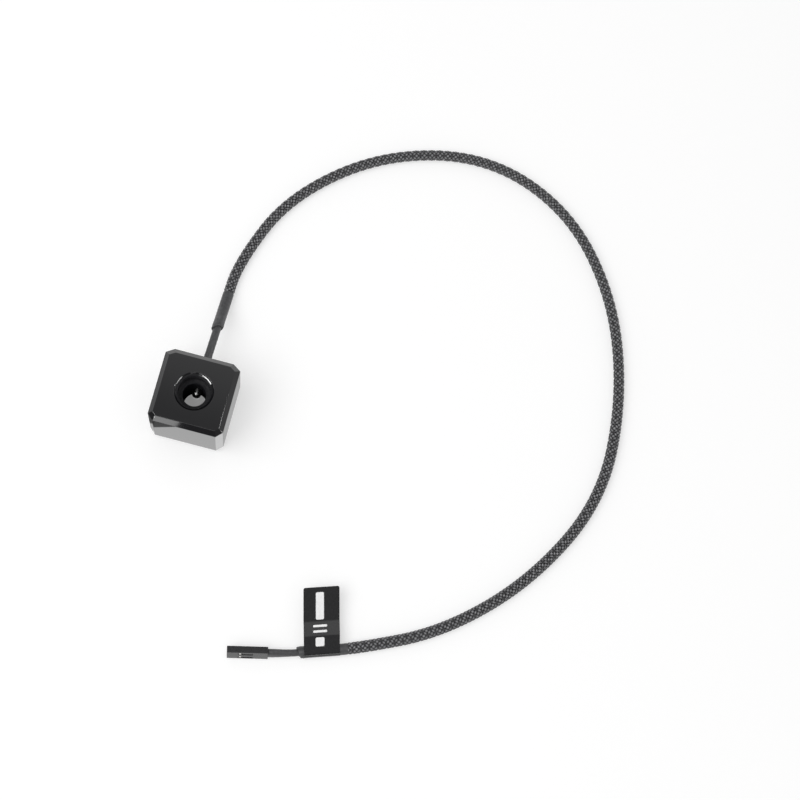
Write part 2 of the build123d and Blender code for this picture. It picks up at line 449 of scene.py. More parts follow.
def at(stations):
    """Places, directions, left-hand sides and upper sides at distances along the cable."""
    s = np.atleast_1d(np.asarray(stations, float))
    place = np.stack([np.interp(s, STATIONS, LINE[:, k]) for k in range(3)], axis=1)
    ahead = np.stack([np.interp(s + DIRECTION_REACH, STATIONS, LINE[:, k]) for k in range(3)], axis=1)
    behind = np.stack([np.interp(s - DIRECTION_REACH, STATIONS, LINE[:, k]) for k in range(3)], axis=1)
    along = ahead - behind
    along /= np.linalg.norm(along, axis=1, keepdims=True)
    left = np.cross(UP, along)
    left /= np.linalg.norm(left, axis=1, keepdims=True)
    over = np.cross(along, left)
    return place, along, left, over


def lathe(name, stations, radii, sides, shape=None):
    """A skin round the cable through rings of given stations and radii; shape moves their points."""
    s = np.asarray(stations, float)
    angle = np.arange(sides) * 2 * math.pi / sides
    grid_s, grid_a = np.meshgrid(s, angle, indexing="ij")
    grid_r = np.repeat(np.asarray(radii, float)[:, None], sides, axis=1)
    if shape is not None:
        grid_s, grid_r = shape(grid_s, grid_a, grid_r)
    place, _, left, over = at(grid_s.ravel())
    r = grid_r.ravel()[:, None]
    a = grid_a.ravel()[:, None]
    points = place + (left * np.cos(a) + over * np.sin(a)) * r
    return make_mesh(name, points, ring_faces(len(s), sides))


def tube_profile(start, end, bore, outside, lip, count):
    """Stations and radii of a tube's skin: out along its outside, with rounded lips, and back inside."""
    along = np.linspace(start + lip, end - lip, count)
    rim = outside - lip
    edge = lip * 0.3
    shoulder = outside - edge
    stations = [start, start, start + edge, *along, end - edge, end, end, *along[::-1], start]
    radii = [bore, rim, shoulder, *[outside] * count, shoulder, rim, *[bore] * (count + 2)]
    return stations, radii


# Where things lie along the cable
ENTRY_SHRINK_START = 3.5 * MM
ENTRY_SHRINK_END = 31.0 * MM
ENTRY_COLLAR_START = 21.8 * MM
COLLAR_LENGTH = 17.5 * MM
PLUG_COLLAR_END = CABLE - 10.6 * MM
PLUG_COLLAR_START = PLUG_COLLAR_END - COLLAR_LENGTH
ENTRY_COLLAR_END = ENTRY_COLLAR_START + COLLAR_LENGTH
COLLAR_LIP = 3.0 * MM
SLEEVE_START = ENTRY_COLLAR_START + COLLAR_LIP
SLEEVE_END = PLUG_COLLAR_END - COLLAR_LIP
PLUG_SHRINK_START = CABLE - 18.0 * MM
FLARE_START = CABLE - 9.0 * MM
FLARE_END = CABLE - 1.25 * MM
RIPPLE_PITCH = 2.1 * MM
RIPPLE_TWIST = 2.3


def ripple(s, a, size, seed=0.0):
    """A gentle unevenness over a skin."""
    waves = s / RIPPLE_PITCH
    twisted = np.sin(waves * 2 * math.pi + RIPPLE_TWIST * np.sin(a + seed))
    return size * (twisted * np.sin(2 * a + waves + seed))


def collar_shape(lip_at, towards, slant, swell, seed):
    """How a thick shrink tube ends: cut askew, and swollen a little over the braid's end."""
    slant_reach = 2.2 * MM
    lump_at, lump_reach = 1.5 * MM, 0.9 * MM
    wall_middle = 1.75 * MM

    def shape(s, a, r):
        inwards = (s - lip_at) * towards
        moved = s + slant * np.cos(a) * np.exp(-((inwards / slant_reach) ** 2))
        lump = swell * np.exp(-(((inwards - lump_at) / lump_reach) ** 2))
        knots = 0.5 + 0.5 * np.cos(a - seed) * np.cos(3 * a + seed)
        rise = lump * knots + ripple(s, a, 0.02 * MM, seed)
        return moved, r + np.where(r > wall_middle, rise, 0.0)

    return shape


# Braid: its yarns each way, the length of a turn, its middle radius in millimetres, which grows a little
# along part of the cable and is drawn in where it is tucked under a collar, and each yarn's form
CARRIERS = 8
MIDDLE_TUCKED = 1.56
MIDDLE_RISE = 0.2
MIDDLE_GROWTH = 0.1
GROWS_BETWEEN = (0.26, 0.3)
BRAID_TURN = 12.0 * MM
BRAID_HIDDEN = 1.0 * MM
TUCK_LENGTH = 1.6 * MM
CROSSING_STEPS = 8
WEAVE_FLATNESS = 0.6
YARN_RADIUS = 1.9 * MM
YARN_WIDTH = 0.72 * MM
YARN_LIFT = 0.14 * MM
YARN_ROUNDNESS = 0.14 * MM
YARN_POINTS = 7
THREADS = 3


def braid():
    """The woven sleeve: sixteen flat yarns, eight each way."""
    start, end = ENTRY_COLLAR_END - BRAID_HIDDEN, PLUG_COLLAR_START + BRAID_HIDDEN
    s = np.arange(start, end, BRAID_TURN / CARRIERS / CROSSING_STEPS)
    place, along, left, over = at(s)
    tuck = np.clip(np.minimum(s - start, end - s) / TUCK_LENGTH, 0, 1)
    middle = (MIDDLE_TUCKED + MIDDLE_RISE * tuck + MIDDLE_GROWTH * ease(s, *GROWS_BETWEEN)) * MM
    slope = 2 * math.pi * YARN_RADIUS / BRAID_TURN
    run = math.hypot(1, slope)
    turned = 2 * math.pi * s / BRAID_TURN
    yarn_faces = ring_faces(YARN_POINTS, len(s), closed=False)
    points, faces, uvs, crown_sheen = [], [], [], []
    for direction in (1, -1):
        for carrier in range(CARRIERS):
            swing = direction * turned + 2 * math.pi * carrier / CARRIERS
            wave = direction * np.cos(turned * CARRIERS + math.pi * carrier)
            weave = np.sign(wave) * np.abs(wave) ** WEAVE_FLATNESS
            first = len(points)
            for k in range(YARN_POINTS):
                u = k / (YARN_POINTS - 1) - 0.5
                crown = math.sqrt(max(0.0, 1 - (2 * u) ** 2))
                radius = middle + YARN_LIFT * weave * tuck + YARN_ROUNDNESS * crown
                a = swing + u * YARN_WIDTH / run / YARN_RADIUS
                shift = -direction * u * YARN_WIDTH * slope / run
                round_it = left * np.cos(a)[:, None] + over * np.sin(a)[:, None]
                yarn_points = place + along * shift + round_it * radius[:, None]
                yarn_points[:, 2] = np.maximum(yarn_points[:, 2], 0.0)
                points.extend(yarn_points)
                uvs.extend([(u * THREADS, value / YARN_WIDTH) for value in s])
                # Painted sheen: how much lighter each point is, on the crowns of the yarns that ride over
                crown_sheen.extend(np.clip(wave, 0, 1) * crown**4)
            faces.extend([tuple(first + index for index in face) for face in yarn_faces])
    piece = make_mesh("braided_sleeve", points, faces)
    layer = piece.data.uv_layers.new(name="yarn")
    flat = np.array(uvs)[[v.vertex_index for v in piece.data.loops]]
    layer.data.foreach_set("uv", flat.ravel())
    # The painted sheen goes to the yarn material as the crown attribute
    sheen_layer = piece.data.attributes.new(name="crown", type="FLOAT", domain="POINT")
    sheen_layer.data.foreach_set("value", np.array(crown_sheen))
    return piece


# Block


def block_outline(inset):
    """The block's eight corners seen from above, drawn in by a distance."""
    half = BLOCK_WIDTH / 2
    right = [
        (half - FRONT_CORNER, -half),
        (half, -half + FRONT_CORNER),
        (half, half - REAR_CORNER_DEPTH),
        (half - REAR_CORNER_WIDTH, half),
    ]
    corners = np.array(right + [(-x, y) for x, y in reversed(right)])
    drawn = []
    for k in range(8):
        rows, limits = [], []
        for begin, finish in ((k - 1, k), (k, (k + 1) % 8)):
            edge = corners[finish] - corners[begin]
            inward = np.array([-edge[1], edge[0]]) / np.linalg.norm(edge)
            rows.append(inward)
            share = REAR_FACET_INSET if (begin, finish) in REAR_FACETS else 1.0
            limits.append(inward @ corners[k] + inset * share)
        drawn.append(np.linalg.solve(rows, limits))
    return drawn


def block_body():
    """The block's outside, softened along the edges."""
    bm = bmesh.new()
    rings = []
    levels = (
        (0, EDGE_CHAMFER),
        (EDGE_CHAMFER, 0),
        (BLOCK_HEIGHT - EDGE_CHAMFER, 0),
        (BLOCK_HEIGHT, EDGE_CHAMFER),
    )
    for height, inset in levels:
        rings.append([bm.verts.new((x * MM, y * MM, height * MM)) for x, y in block_outline(inset)])
    for lower, upper in zip(rings, rings[1:]):
        for k in range(8):
            n = (k + 1) % 8
            bm.faces.new((lower[k], lower[n], upper[n], upper[k]))
    bm.faces.new(rings[0][::-1])
    bm.faces.new(rings[-1])
    soften(bm, EDGE_SOFTNESS)
    bmesh.ops.recalc_face_normals(bm, faces=bm.faces)
    return from_bmesh("flow_block_body", bm)


def cylinder(radius, length, place, turn=0.0):
    """A closed cylinder for cutting, in millimetres, upright or turned about the X axis."""
    bm = bmesh.new()
    matrix = Matrix.Translation(Vector(place) * MM) @ Matrix.Rotation(turn, 4, "X")
    sizes = {"radius1": radius * MM, "radius2": radius * MM, "depth": length * MM}
    bmesh.ops.create_cone(bm, cap_ends=True, segments=ROUND_SIDES, matrix=matrix, **sizes)
    return from_bmesh("cutter", bm)


def port_radius(depth, angle):
    """Radius of a port's wall at a depth: a chamfered mouth, then Whitworth-form thread."""
    middle, swing = (PORT_MAJOR + PORT_MINOR) / 4, (PORT_MAJOR - PORT_MINOR) / 4
    phase = (depth / THREAD_PITCH - angle / (2 * math.pi)) % 1.0
    tooth = np.clip(FLANK_STEEPNESS * (4 * np.abs(phase - 0.5) - 1), -1, 1)
    tooth = np.sin(tooth * math.pi / 2)
    fade = np.clip((THREAD_END - depth) / THREAD_RUN_OUT, 0, 1)
    thread = middle + swing * (tooth * fade - (1 - fade))
    rounding = MOUTH_ROUNDING * np.sin(math.pi * np.clip(depth / MOUTH_ROUNDED_TO, 0, 1))
    mouth = PORT_MOUTH / 2 - depth + rounding
    return np.maximum(np.maximum(thread, mouth), PORT_MINOR / 2)


def open_body(body):
    """Cuts a way through for the ports and a hole for the cable, and takes the way's plain wall out."""
    cut(body, cylinder(PORT_RIM, 2 * BLOCK_HEIGHT, (0, 0, BLOCK_HEIGHT / 2)))
    gland_at = (0, BLOCK_WIDTH / 2, BLOCK_HEIGHT / 2)
    cut(body, cylinder(GLAND / 2, 2 * GLAND_DEPTH, gland_at, math.pi / 2))
    bm = bmesh.new()
    bm.from_mesh(body.data)
    walls = []
    tolerance, upright = 1e-5, 0.1
    for face in bm.faces:
        misses = [abs(math.hypot(v.co.x, v.co.y) - PORT_RIM * MM) for v in face.verts]
        if max(misses) < tolerance and abs(face.normal.z) < upright:
            walls.append(face)
    bmesh.ops.delete(bm, geom=walls, context="FACES")
    bm.to_mesh(body.data)
    bm.free()


def port_lining():
    """The wall of both ports and of the bore between them: the upper half, then its mirror image."""
    angle = np.arange(ROUND_SIDES) * 2 * math.pi / ROUND_SIDES
    thread_depths = np.linspace(0.06, 4.6, 100)
    depths = np.concatenate([[0.0, 0.02], thread_depths, [4.8, PORT_DEPTH - PORT_FLOOR_ROUNDING]])
    rows = [(port_radius(np.full(ROUND_SIDES, depth), angle), BLOCK_HEIGHT - depth) for depth in depths]
    rows[0] = (np.full(ROUND_SIDES, PORT_RIM), BLOCK_HEIGHT)
    bottom = BLOCK_HEIGHT - PORT_DEPTH
    level = [
        (PORT_MINOR / 2 - PORT_FLOOR_ROUNDING, bottom),
        (BORE / 2 + BORE_LEDGE, bottom),
        (BORE / 2 + BORE_EDGE_ROUNDING, bottom),
    ]
    heights = np.linspace(bottom - BORE_EDGE_ROUNDING, BLOCK_HEIGHT / 2, 10)
    level.extend((BORE / 2, height) for height in heights)
    rows.extend((np.full(ROUND_SIDES, radius), height) for radius, height in level)
    rows.extend([(radius, BLOCK_HEIGHT - height) for radius, height in reversed(rows[:-1])])
    points = []
    for radius, height in rows:
        for r, a in zip(radius, angle):
            points.append((r * math.cos(a) * MM, r * math.sin(a) * MM, height * MM))
    return make_mesh("flow_block_lining", points, ring_faces(len(rows), ROUND_SIDES))


def block():
    """The whole block: its outside, and a lining with both threads and the bore."""
    body = block_body()
    open_body(body)
    lining = port_lining()
    shade_by_angle(body, degrees=30, flat_faces=True)
    shade_by_angle(lining, degrees=50)
    return body, lining


def darken_bore(lining):
    """Gives the lining a finish less reflective than the polished acetal, painted shade for the dark
    inside of the ports below their mouths, and of the bore beyond, which reflects nothing; the cut
    threads are rougher too.
    """
    lining.data.materials.append(MATERIALS["bore_black"])
    lining.data.materials.append(MATERIALS["bore_deep"])
    port_ends = (PORT_DEPTH + 0.02) * MM
    for face in lining.data.polygons:
        depth = min(face.center.z, BLOCK_HEIGHT * MM - face.center.z)
        face.material_index = int(depth > POLISHED_DEPTH * MM) + int(depth > port_ends)


# Plug frame: x along the wide side, y away from the window face, z towards the mating end
PLUG_END = np.array(ROUTE[-1])
HEADING = PLUG_END - np.array(ROUTE[-2])
HEADING /= np.linalg.norm(HEADING)
SIDE = np.array([-HEADING[1], HEADING[0], 0.0])
WINDOW_NORMAL = SIDE * math.cos(PLUG_LEAN) + UP * math.sin(PLUG_LEAN)
WIDE = np.cross(HEADING, WINDOW_NORMAL)
PLUG_MATRIX = Matrix.Identity(4)
for column, axis in enumerate((WIDE, -WINDOW_NORMAL, HEADING, PLUG_END)):
    for line_index in range(3):
        PLUG_MATRIX[line_index][column] = float(axis[line_index])

# In that frame: the cavities' middles, the ends of the latch windows, and the slots and tangs at them
CAVITIES = (-PLUG_PITCH / 2, PLUG_PITCH / 2)
WINDOW_TOP = PLUG_LENGTH - WINDOW_SETBACK
WINDOW_FOOT = WINDOW_TOP - WINDOW_LENGTH
SLOT_OFFSET = 0.68
SLOT_REACH = (-0.085, 0.095)
SLOT_LENGTH = 3.25
SLOT_OVERRUN = 0.13
SLOT_PAST_WALL = 0.06
TANG_WIDTH = 0.76
TANG_REACH = (1.1, 0.35)
TANG_SUNK = 0.06
TANG_ROOT = 0.12
TANG_SOFTNESS = 0.04


def box(low, high, bevel=0.0):
    """A box between two corners in millimetres of the plug's frame, its edges softened by a bevel."""
    bm = bmesh.new()
    bmesh.ops.create_cube(bm, size=1.0)
    size = [(h - l) * MM for l, h in zip(low, high)]
    centre = [(h + l) / 2 * MM for l, h in zip(low, high)]
    bmesh.ops.scale(bm, vec=size, verts=bm.verts)
    bmesh.ops.translate(bm, vec=centre, verts=bm.verts)
    if bevel > 0:
        soften(bm, bevel)
    bm.transform(PLUG_MATRIX)
    return from_bmesh("box", bm)


def plug():
    """The crimp housing with its cavities, latch windows and tongues."""
    w, t, c, half_window = PLUG_WIDTH / 2, PLUG_THICKNESS / 2, CAVITY / 2, WINDOW_WIDTH / 2
    outside = -t - 1
    body = box((-w, -t, 0), (w, t, PLUG_LENGTH), EDGE_SOFTNESS)
    for centre in CAVITIES:
        left, right = centre - c, centre + c
        cutters = [
            ((left, -c, -1), (right, c, PLUG_LENGTH + 1)),
            ((centre - half_window, outside, WINDOW_FOOT), (centre + half_window, 0, WINDOW_TOP)),
            ((left, outside, WINDOW_FOOT - TONGUE_LENGTH), (right, -t + TONGUE_DEPTH, WINDOW_FOOT)),
        ]
        for edge in (-1, 1):
            slot = centre + edge * SLOT_OFFSET
            low = (slot + SLOT_REACH[0], outside, WINDOW_FOOT - SLOT_LENGTH)
            high = (slot + SLOT_REACH[1], -c + SLOT_PAST_WALL, WINDOW_FOOT + SLOT_OVERRUN)
            cutters.append((low, high))
        for low, high in cutters:
            cut(body, box(low, high), "MANIFOLD")
    body.name = "plug_housing_shell"
    shade_by_angle(body, degrees=30, flat_faces=True)
    return body


def tangs():
    """The contacts' locking tangs, sprung out into the latch windows."""
    pieces = []
    for centre in CAVITIES:
        low = (centre - TANG_WIDTH / 2, -PLUG_THICKNESS / 2 + TANG_SUNK, WINDOW_TOP - TANG_REACH[0])
        high = (centre + TANG_WIDTH / 2, -CAVITY / 2 + TANG_ROOT, WINDOW_TOP - TANG_REACH[1])
        pieces.append(box(low, high, TANG_SOFTNESS))
    return join(pieces, "contact_tangs")


# Flag label
LABEL_REACH = 22.2 * MM
LABEL_WIDTH = 12.7 * MM
LABEL_RISE = math.radians(6.0)
LABEL_SLANT = 1.3 * MM
LABEL_CORNER = 0.7 * MM
LABEL_AT = CABLE - 18.75 * MM
LABEL_COLUMNS = 24
FILM_OUTSIDE = (COLLAR_RADIUS + PAPER) * MM
FILM_UNDERSIDE = (COLLAR_RADIUS - PAPER) * MM
BEND_REACH = 6.0 * MM
LEAVES_MEET = 3.8 * MM

# The flag's wave: where its fall sets in and where it fades out along the reach, and how steep it is
FALL_BEGINS = (4.7 * MM, 5.2 * MM)
FALL_ENDS = (10.2 * MM, 11.4 * MM)
FALL_SLOPE = 0.29

# Plain shapes in place of print: two corners in millimetres of reach and width, and a corner radius
PRINT_SHAPES = [
    ((10.9, -0.85), (20.4, 2.0), 0.5),
    ((8.3, -1.9), (9.1, 3.0), 0.3),
    ((6.4, -1.9), (7.2, 3.0), 0.3),
    ((1.6, -0.9), (4.7, 2.2), 0.5),
]
PRINT_LIFT = 0.015 * MM


def label_axes(station):
    """The flag's root, its direction away from the cable, the cable's direction and the upper normal."""
    place, along, left, _ = at(station)
    out = -left * math.cos(LABEL_RISE) + UP * math.sin(LABEL_RISE)
    normal = np.cross(along, out)
    normal /= np.linalg.norm(normal, axis=1, keepdims=True)
    return place, out, along, normal * np.sign(normal[:, 2:3])


def on_label(reach, width, height):
    """Points of the film: near the cable they follow its bend, further out a straight flag."""
    reach, width, height = (np.asarray(v, float).ravel() for v in (reach, width, height))
    slant = -LABEL_SLANT * np.clip(reach / LABEL_REACH, 0, 1)
    sets = []
    middle = np.full(len(width), LABEL_AT)
    for station, shift in ((LABEL_AT + width, slant), (middle, width + slant)):
        place, out, along, normal = label_axes(station)
        sets.append(place + out * reach[:, None] + along * shift[:, None] + normal * height[:, None])
    far = ease(reach, 0.0, BEND_REACH)[:, None]
    return sets[0] * (1 - far) + sets[1] * far


def label_swell(reach):
    """How far the flag's film waves off the flat: up beside the cable, down again, and slowly up."""
    grid = np.linspace(0, LABEL_REACH, 400)
    falls = ease(grid, *FALL_BEGINS) - ease(grid, *FALL_ENDS)
    height = np.cumsum(falls.mean() - falls) * (grid[1] - grid[0]) * FALL_SLOPE
    return np.interp(reach, grid, height)


def corner_inset(into, radius):
    """How far a rounded corner draws in at a distance into it."""
    into = np.clip(into, 0, radius)
    return radius - np.sqrt(np.maximum(radius**2 - into**2, 0))


def label_section():
    """The film's outside across the cable: along the flag's top, round the collar and out again below."""
    corner = LABEL_CORNER * (1 - np.sin(np.linspace(0.0, 1.0, 8) * math.pi / 2))
    straight = np.linspace(0.3 * MM, LABEL_REACH - LABEL_CORNER, 60)
    reaches = np.concatenate([straight, LABEL_REACH - corner[1:]])
    top = [(u, FILM_OUTSIDE + label_swell(u)) for u in reaches[::-1]]
    turn = np.radians(np.linspace(90, 370, 44))
    wrap = [(FILM_OUTSIDE * math.cos(a), FILM_OUTSIDE * math.sin(a)) for a in turn]
    meeting = (LEAVES_MEET, FILM_UNDERSIDE + label_swell(LEAVES_MEET))
    guide = np.array([wrap[-1], (2.1 * MM, 1.15 * MM), (2.6 * MM, FILM_UNDERSIDE), meeting])
    join_up = []
    for t in np.linspace(0, 1, 12)[1:]:
        weights = ((1 - t) ** 3, 3 * t * (1 - t) ** 2, 3 * t**2 * (1 - t), t**3)
        join_up.append(tuple(sum(w * g for w, g in zip(weights, guide))))
    beyond = reaches[reaches > LEAVES_MEET + 0.1 * MM]
    bottom = [(u, FILM_UNDERSIDE + label_swell(u)) for u in beyond]
    return np.array(top + wrap + join_up + bottom)


def label():
    """The film as one closed sheet: the flag, and its turn round the collar."""
    section = label_section()
    turn = np.radians(np.linspace(0, 360, 48, endpoint=False))
    inner = np.stack([np.cos(turn), np.sin(turn)], axis=1) * (COLLAR_RADIUS + PAPER_CLEARANCE) * MM
    bm = bmesh.new()
    end_edges = ([], [])
    for loop in (section, inner):
        limit = LABEL_WIDTH / 2 - corner_inset(loop[:, 0] - (LABEL_REACH - LABEL_CORNER), LABEL_CORNER)
        rows = []
        for k in range(LABEL_COLUMNS + 1):
            spots = on_label(loop[:, 0], (2 * k / LABEL_COLUMNS - 1) * limit, loop[:, 1])
            rows.append([bm.verts.new(spot) for spot in spots])
        count = len(loop)
        for first, second in zip(rows, rows[1:]):
            for k in range(count):
                n = (k + 1) % count
                bm.faces.new((first[k], first[n], second[n], second[k]))
        for edges, row in zip(end_edges, (rows[0], rows[-1])):
            edges.extend(bm.edges.get((row[k], row[(k + 1) % count])) for k in range(count))
    for edges in end_edges:
        bmesh.ops.triangle_fill(bm, use_beauty=True, edges=edges)
    bmesh.ops.recalc_face_normals(bm, faces=bm.faces)
    film = from_bmesh("flag_label_film", bm)
    shade_by_angle(film, degrees=40, flat_faces=True)
    return film


def print_patch(low, high, radius):
    """A printed rounded rectangle on the flag, from corners in millimetres of reach and width."""
    quarter = radius * (1 - np.cos(np.linspace(0, math.pi / 2, 7)))
    straight = np.linspace(low[0] + radius, high[0] - radius, 24)
    reaches = np.concatenate([low[0] + quarter[:-1], straight, (high[0] - quarter[:-1])[::-1]])
    middle, half = (low[1] + high[1]) / 2, (high[1] - low[1]) / 2
    into = np.maximum(low[0] + radius - reaches, reaches - (high[0] - radius))
    limit = half - corner_inset(into, radius)
    across = np.linspace(-1, 1, 9)
    reach = np.repeat(reaches[:, None], len(across), axis=1) * MM
    width = (middle + limit[:, None] * across[None, :]) * MM
    height = FILM_OUTSIDE + PRINT_LIFT + label_swell(reach)
    faces = ring_faces(len(reaches), len(across), closed=False)
    return make_mesh("print", on_label(reach, width, height), faces)


def entry_ripple(s, a, r):
    """The thin shrink at the block, a little uneven outside."""
    wall_middle = 1.2 * MM
    return s, r + np.where(r > wall_middle, ripple(s, a, 0.03 * MM), 0)


def flare(s, a, r):
    """Opens the thin shrink into an oval along the plug's wide side at its end."""
    wall_middle, bore_growth, outside_growth = 1.1 * MM, 0.7, 0.56
    _, _, left, over = at(s.ravel())
    open_up = ease(s, FLARE_START, FLARE_END)
    towards = np.abs(np.cos(a) * float(WIDE @ left[-1]) + np.sin(a) * float(WIDE @ over[-1]))
    growth = np.where(r < wall_middle, bore_growth, outside_growth)
    return s, r * (1 + growth * open_up * towards**2) + ripple(s, a, 0.015 * MM)


def tube_skin(name, ends, bore, outside, lip, count, sides, shape):
    """The dressed skin of a shrink tube between two stations; radii and lip are in millimetres."""
    s, r = tube_profile(*ends, bore * MM, outside * MM, lip * MM, count)
    return dress(lathe(name, s, r, sides, shape), "shrink_black")


def build():
    """Makes every piece of the object."""
    body, lining = block()
    dress(body, "black_acetal")
    dress(lining, "black_acetal")
    darken_bore(lining)
    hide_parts("flow_block")
    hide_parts("flow_block")

    ends = (ENTRY_SHRINK_START, ENTRY_SHRINK_END)
    sizes = {"bore": THIN_BORE, "outside": 1.43, "lip": 0.1, "count": 60, "sides": 28}
    entry = tube_skin("entry_shrink_skin", ends, shape=entry_ripple, **sizes)
    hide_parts("entry_shrink")

    ends = (ENTRY_COLLAR_START, ENTRY_COLLAR_END)
    shape = collar_shape(ENTRY_COLLAR_START, 1, -0.8 * MM, 0.08 * MM, 0.4)
    sizes = {"bore": 1.47, "outside": 2.02, "lip": 0.25, "count": 70, "sides": 40}
    entry_collar = tube_skin("entry_collar_skin", ends, shape=shape, **sizes)
    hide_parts("entry_collar")

    ends = (PLUG_COLLAR_START, PLUG_COLLAR_END)
    shape = collar_shape(PLUG_COLLAR_END, -1, -0.6 * MM, 0.2 * MM, 2.4)
    sizes = {"bore": 1.27, "outside": 2.02, "lip": 0.25, "count": 70, "sides": 40}
    plug_collar = tube_skin("plug_collar_skin", ends, shape=shape, **sizes)
    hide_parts("plug_collar")

    ends = (PLUG_SHRINK_START, CABLE)
    sizes = {"bore": THIN_BORE, "outside": 1.25, "lip": 0.06, "count": 60, "sides": 32}
    plug_shrink = tube_skin("plug_shrink_skin", ends, shape=flare, **sizes)
    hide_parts("plug_shrink")

    sleeve = braid()
    s, r = tube_profile(SLEEVE_START, SLEEVE_END, 1.46 * MM, 1.62 * MM, lip=0.05 * MM, count=700)
    core = lathe("braided_sleeve_core", s, r, sides=20)
    sleeve.data.materials.append(MATERIALS["braid_black"])
    core.data.materials.append(MATERIALS["braid_core"])
    sleeve = join([sleeve, core], "braided_sleeve_woven")
    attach(sleeve, "root")
    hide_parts("braided_sleeve")

    film = dress(label(), "label_film")
    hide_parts("flag_label")
    printed = join([print_patch(*shape) for shape in PRINT_SHAPES], "label_print")
    dress(printed, "label_print")

    shell = dress(plug(), "plug_black")
    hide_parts("plug_housing")
    sprung = dress(tangs(), "contact_tin")

    slots = {p["node"]: p["material_slot"] for p in frame["record"]["subparts"]}
    for name, node in frame["nodes"].items():
        if not node.hide_render:
            for slot in node.material_slots:
                slot.material = MATERIALS[slots[name]]


# Studio, in metres from the bore's axis. What gloss sees of the floor is a painted reflection: the far
# floor rises from its first place to its second, with a level at either, and each painted lighter or
# darker patch's edge lies between two places
FAR_FLOOR = (0.04, 0.11, 1.13, 1.74)
BEFORE_BLOCK = (-0.0112, -0.0116)
RIGHT_EDGE = (0.0131, 0.0136)
CORNER_EDGE = (0.0114, 0.0119)
LEFT_EDGE = (-0.0126, -0.0132)
RIGHT_CHANGE = -0.58
CORNER_CHANGE = 0.46
LEFT_CHANGE = -0.5
PAINTED_PATCH_SLANT = (-0.286, -0.958)
PAINTED_PATCH_FRONT_EDGE = (0.0191, 0.0194)
PAINTED_PATCH_RIGHT_EDGE = (-0.0035, -0.0039)
PAINTED_PATCH_LEFT_EDGE = (-0.015, -0.0156)
PAINTED_PATCH_SHADE = 0.83
PAINTED_PATCHES_END = (0.028, 0.032)

# The floor itself, and its glow to the camera: from one distance to another, with a level at either; the
# lower level, round the bore's axis, is painted shade on the floor seen through the bore
FLOOR_REACH = 4.0
FLOOR_DROP = 2e-5
FLOOR_GREY = 0.54
FLOOR_GLOW_AND_BORE_SHADE = (0.006, 0.011, 0.22, 0.53)

# The world that gloss sees: where each tone begins and ends, and its level at either end
WALL_HEADING = (0.6, 0.8)
WALLS = (-0.3, 0.6, 0.2, 0.85)
PANEL = (0.213, 0.257, 0.52, 0.95)
PANEL_RISE = (0.28, 0.34, 0.0, 0.7)
PANEL_FALL = (0.42, 0.6, 0.0, -1.2)
CEILING_FROM = (0.25, 0.65, 0.0, 1.0)
WORLD_LIGHT = 0.52
LAMP_DISTANCE = 1.2
LAMPS_FACE = Vector((0.0, 0.0, 0.02))


def ray(tree, *kinds):
    """1 for rays of any of these kinds."""
    path = tree.nodes.new("ShaderNodeLightPath")
    found = path.outputs[kinds[0]]
    for kind in kinds[1:]:
        found = calculate(tree, "MAXIMUM", found, path.outputs[kind])
    return found


def step(tree, value, start, end):
    """0 before one value and 1 beyond the other."""
    return remap(tree, value, start, end, 0.0, 1.0)


def mirrored_floor(tree, x, y, distance):
    """What gloss sees of the floor, a painted reflection: brighter far behind, and painted lighter and
    darker patches round the block.
    """
    far = remap(tree, y, *FAR_FLOOR, smooth=True)
    before = step(tree, y, *BEFORE_BLOCK)
    beside = calculate(tree, "SUBTRACT", 1.0, before)
    change = 0.0
    # Painted lighter and darker patches that show only in reflections
    for painted_patch, level in (
        (times(tree, step(tree, x, *RIGHT_EDGE), beside), RIGHT_CHANGE),
        (times(tree, step(tree, x, *CORNER_EDGE), before), CORNER_CHANGE),
        (step(tree, x, *LEFT_EDGE), LEFT_CHANGE),
    ):
        change = plus(tree, change, times(tree, painted_patch, level))
    slanted = plus(tree, times(tree, x, PAINTED_PATCH_SLANT[0]), times(tree, y, PAINTED_PATCH_SLANT[1]))
    front = times(tree, step(tree, slanted, *PAINTED_PATCH_FRONT_EDGE), step(tree, x, *PAINTED_PATCH_RIGHT_EDGE))
    dark = calculate(tree, "MAXIMUM", front, step(tree, x, *PAINTED_PATCH_LEFT_EDGE))
    shade = calculate(tree, "SUBTRACT", 1.0, times(tree, dark, PAINTED_PATCH_SHADE))
    near = times(tree, plus(tree, far, change), shade)
    return between(tree, step(tree, distance, *PAINTED_PATCHES_END), near, far)


